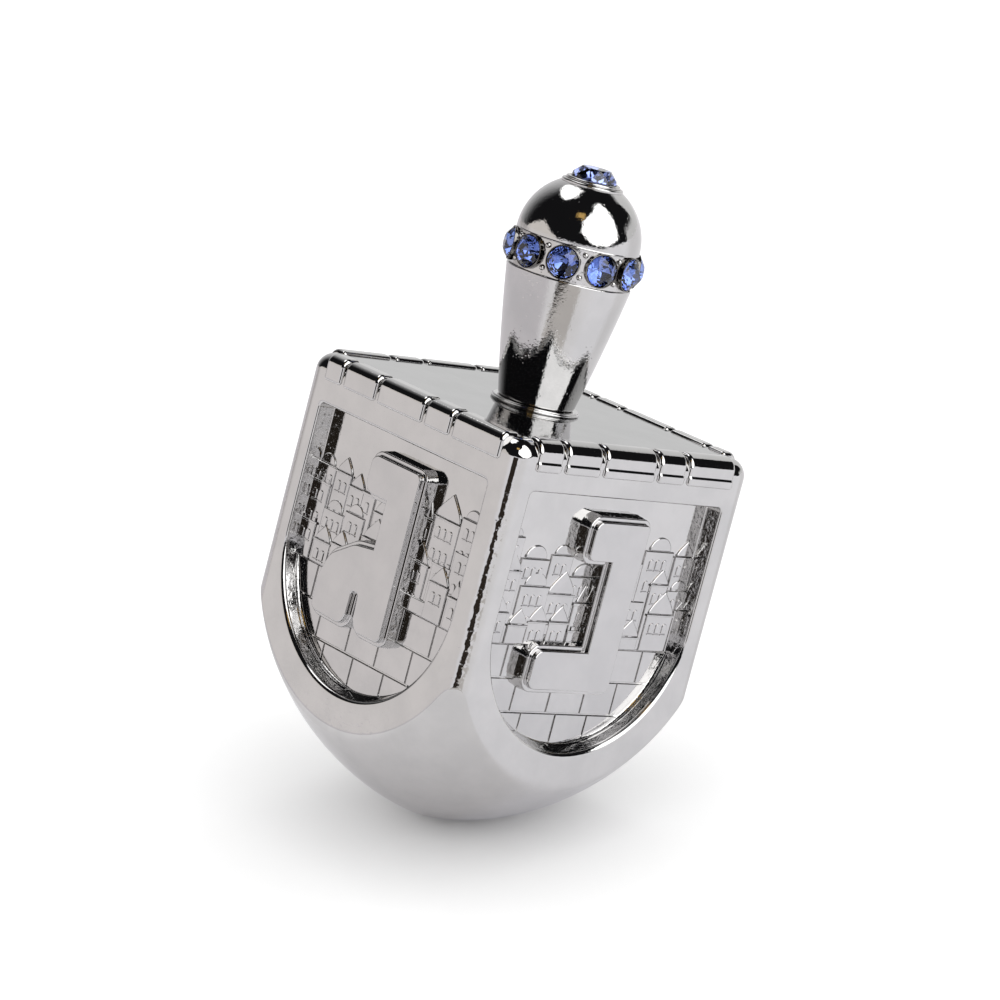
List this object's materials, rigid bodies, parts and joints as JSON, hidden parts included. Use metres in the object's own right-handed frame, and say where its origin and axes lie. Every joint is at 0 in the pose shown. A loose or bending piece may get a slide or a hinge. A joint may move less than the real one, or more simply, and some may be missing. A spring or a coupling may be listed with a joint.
{
  "type": "four-sided spinning top",
  "caption": "Silver-coloured four-sided spinning top with recessed arched faces, raised letters, a beaded rim and a handle set with blue stones.",
  "frame": {"origin": "the spin tip, on the axis at the lowest point", "axes": "+Z along the spin axis from the tip to the crown stone; the gimel face looks along -Y, nun along +X, shin along +Y, he along -X"},
  "size_m": [0.0306, 0.0306, 0.0628],
  "materials": {
    "body": "bright nickel-plated casting, slightly uneven polish",
    "plate": "flat mirror polish",
    "handle": "bright plated casting, fine pitting on the stem",
    "ring": "bright plated, turned",
    "screw": "zinc-plated steel",
    "washer": "zinc-plated steel",
    "crown_stone": "cut glass, foiled back",
    "belt_stone": "cut glass, foiled back"
  },
  "bodies": {
    "root": {"body_shell": "body", "top_plate": "plate", "handle": "handle", "collar_ring": "ring", "handle_screw": "screw", "screw_washer": "washer", "crown_crystal": "crown_stone", "belt_crystal_1": "belt_stone", "belt_crystal_2": "belt_stone", "belt_crystal_3": "belt_stone", "belt_crystal_4": "belt_stone", "belt_crystal_5": "belt_stone", "belt_crystal_6": "belt_stone", "belt_crystal_7": "belt_stone", "belt_crystal_8": "belt_stone", "belt_crystal_9": "belt_stone", "belt_crystal_10": "belt_stone"}
  },
  "joints": []
}
